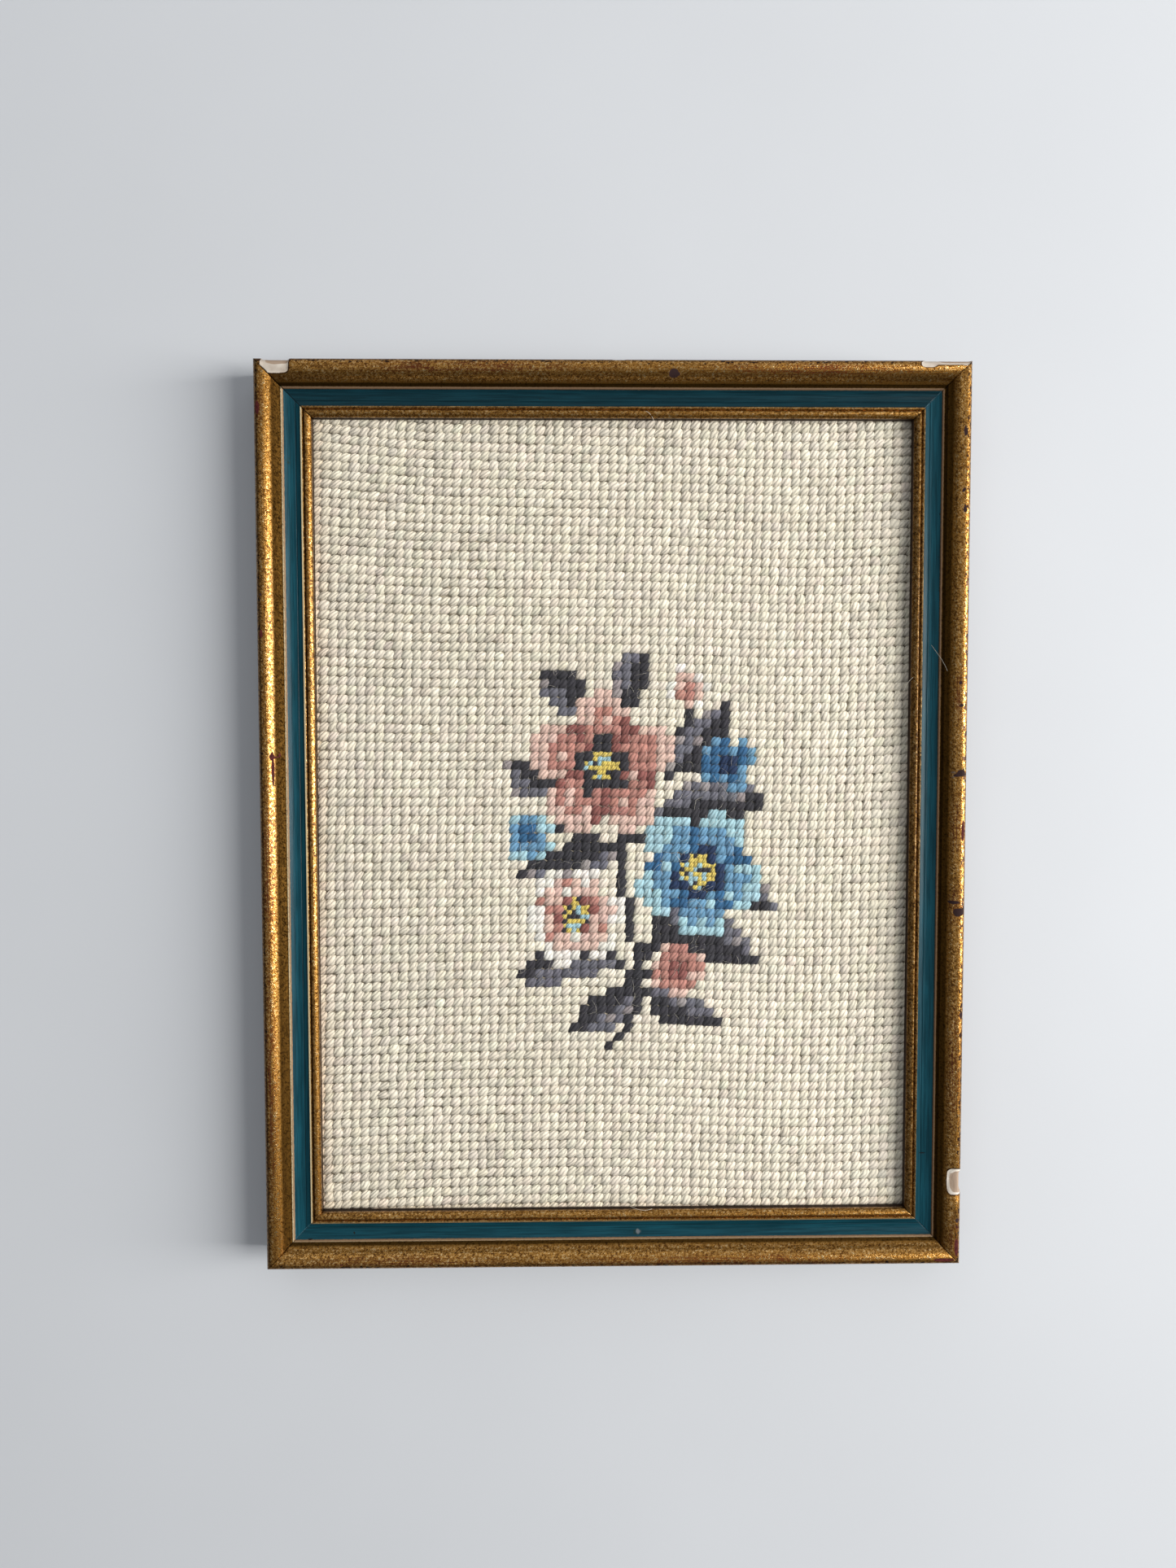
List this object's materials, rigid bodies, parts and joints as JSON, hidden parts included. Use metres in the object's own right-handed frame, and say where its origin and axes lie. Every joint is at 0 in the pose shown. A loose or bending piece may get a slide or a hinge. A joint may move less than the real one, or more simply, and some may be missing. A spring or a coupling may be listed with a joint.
{
  "type": "needlepoint picture in its wooden frame",
  "caption": "Small tent-stitch wool picture held in a gilded wooden frame with a blue-green painted band, to stand on a shelf or hang on a wall.",
  "frame": {"origin": "middle of the frame's back, level with the surface it lies on", "axes": "+Z out of the picture's face, +Y towards the picture's top, +X to the right as one looks at the face"},
  "size_m": [0.1938, 0.2496, 0.0163],
  "materials": {
    "wool_stitches": "matt wool yarn in tent stitch, cream ground with a worked spray in greys, rose and blues",
    "gilded_moulding": "worn bronze gilding over gesso and red bole, with a blue-green painted band"
  },
  "bodies": {
    "root": {"needlepoint": "wool_stitches", "top_rail": "gilded_moulding", "bottom_rail": "gilded_moulding", "left_rail": "gilded_moulding", "right_rail": "gilded_moulding"}
  },
  "joints": []
}
